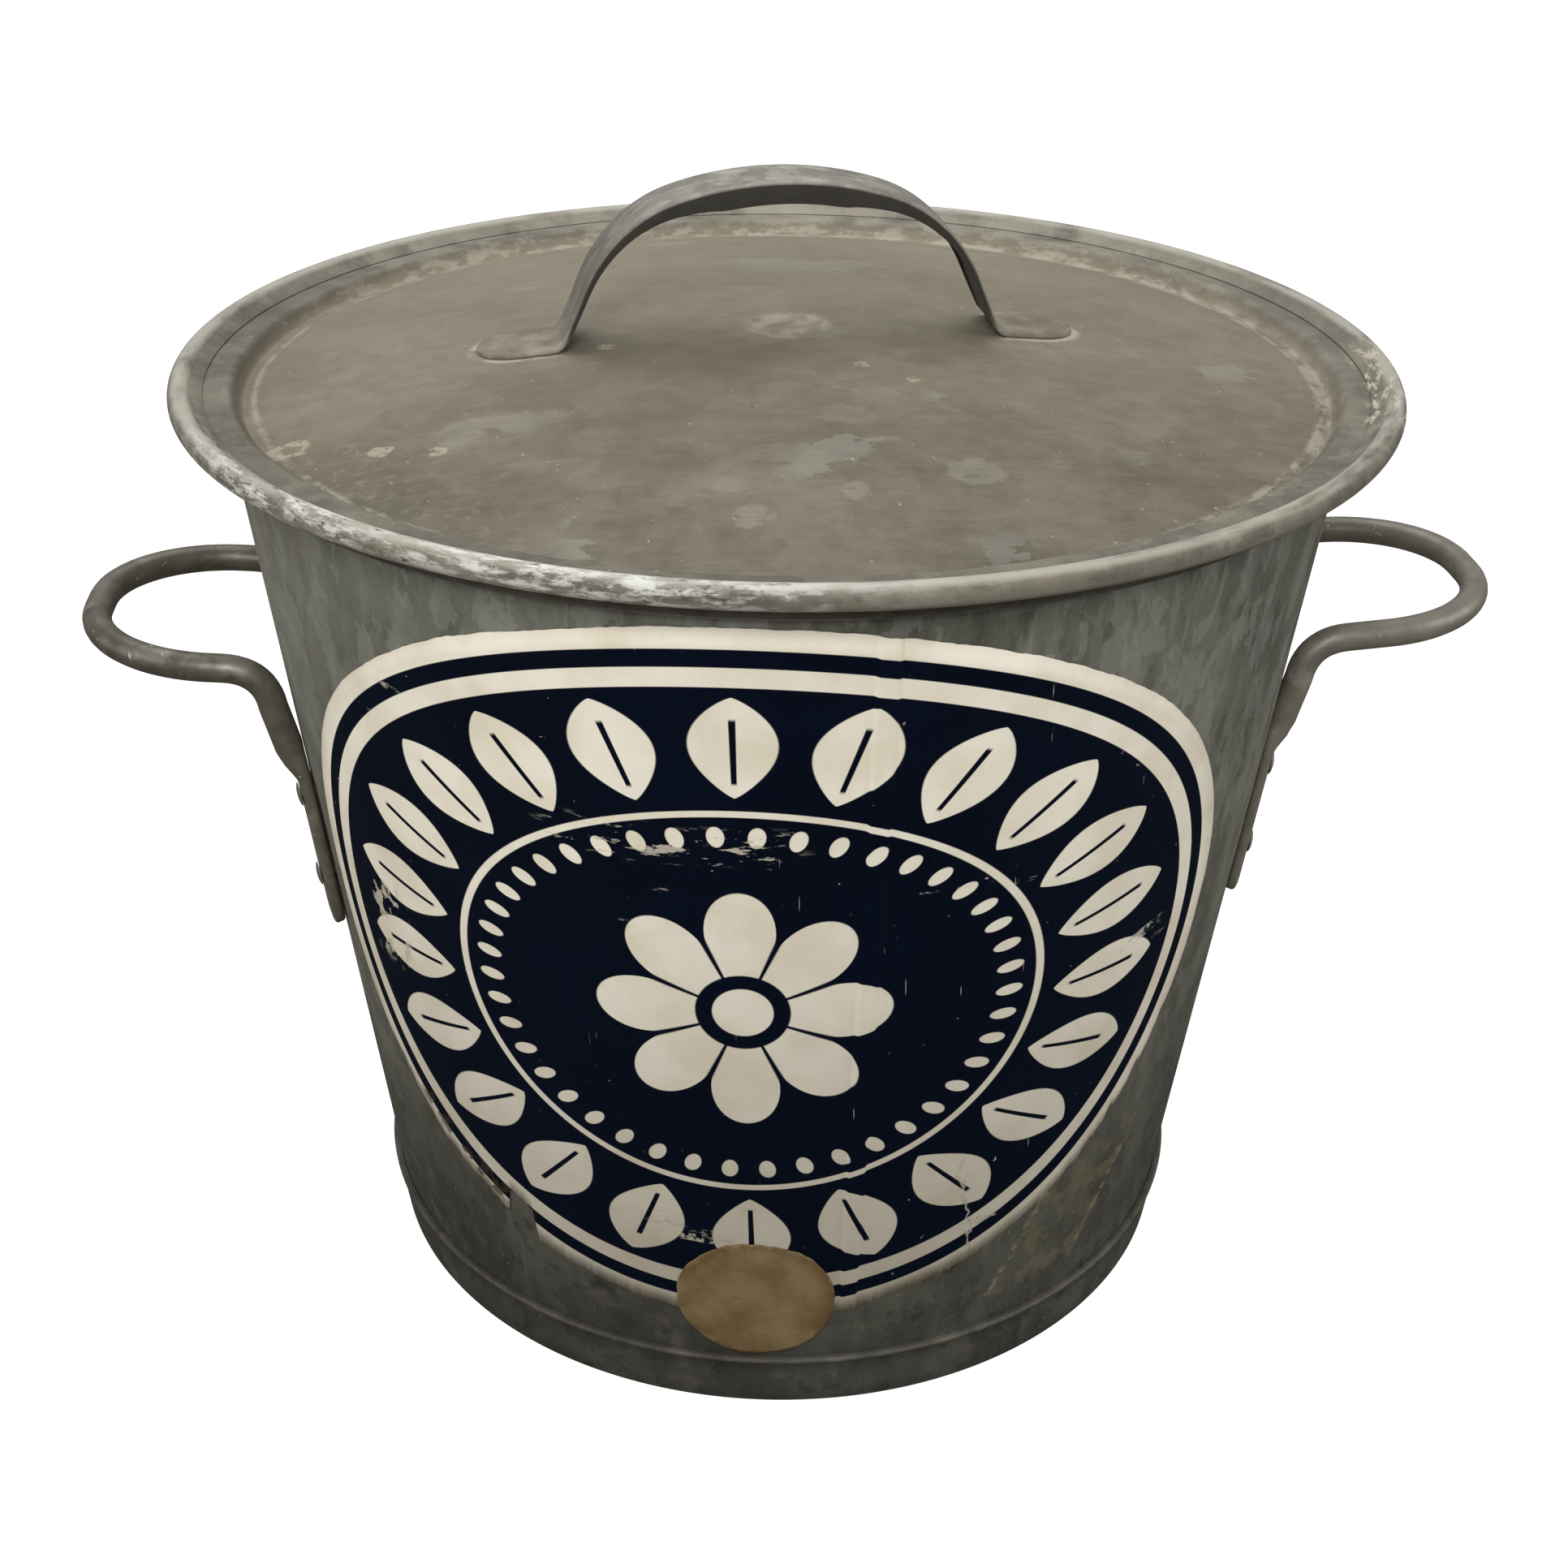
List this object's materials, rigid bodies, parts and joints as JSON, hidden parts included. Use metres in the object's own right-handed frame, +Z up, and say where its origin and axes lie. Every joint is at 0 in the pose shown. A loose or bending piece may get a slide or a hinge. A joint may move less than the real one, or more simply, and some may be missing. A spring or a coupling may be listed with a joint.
{
  "type": "laundry boiler",
  "caption": "Tapered galvanised wash boiler with a wired rim, riveted bar handles, a domed lid with a strip handle, and a lift-out injector set with a spray head.",
  "frame": {"origin": "on the floor, at the centre of the bounding box's base, on the axis of the tub", "axes": "+Z up along the tub's axis, +X towards the right side handle, the labelled front faces -Y"},
  "size_m": [0.5364, 0.44, 0.4192],
  "materials": {
    "galvanised_tub": "dull weathered zinc with spangle and drips",
    "galvanised_lid": "warm grey zinc, scuffed and stained",
    "bar_steel": "dark galvanised bar, rubbed",
    "bare_wire": "bare iron wire",
    "inner_zinc": "dull zinc, lime stained",
    "label_paper": "navy and cream printed paper, torn",
    "sticker_paper": "blank aged cream paper"
  },
  "bodies": {
    "tub": {"tub_wall": "galvanised_tub", "rim_wire": "bare_wire", "foot_hoop": "galvanised_tub", "tub_bottom": "inner_zinc", "side_handle_right": "bar_steel", "side_handle_left": "bar_steel", "rivet_right_front_lower": "bar_steel", "rivet_right_front_upper": "bar_steel", "rivet_right_rear_lower": "bar_steel", "rivet_right_rear_upper": "bar_steel", "rivet_left_front_lower": "bar_steel", "rivet_left_front_upper": "bar_steel", "rivet_left_rear_lower": "bar_steel", "rivet_left_rear_upper": "bar_steel", "front_label": "label_paper", "round_sticker": "sticker_paper"},
    "injector_set": {"false_bottom": "inner_zinc", "false_bottom_foot_1": "inner_zinc", "false_bottom_foot_2": "inner_zinc", "false_bottom_foot_3": "inner_zinc", "injector_cone": "inner_zinc", "injector_tube": "inner_zinc"},
    "spray_head": {"spray_head": "inner_zinc"},
    "lid": {"lid": "galvanised_lid", "lid_rim_wire": "bare_wire", "lid_handle": "galvanised_lid"}
  },
  "joints": [
    {"name": "injector_lift", "type": "slide", "parent": "tub", "child": "injector_set", "axis": [0, 0, 1], "range_m": [0, 0.345]},
    {"name": "head_lift", "type": "slide", "parent": "injector_set", "child": "spray_head", "axis": [0, 0, 1], "range_m": [0, 0.04]},
    {"name": "lid_lift", "type": "slide", "parent": "spray_head", "child": "lid", "axis": [0, 0, 1], "range_m": [0, 0.1]}
  ]
}
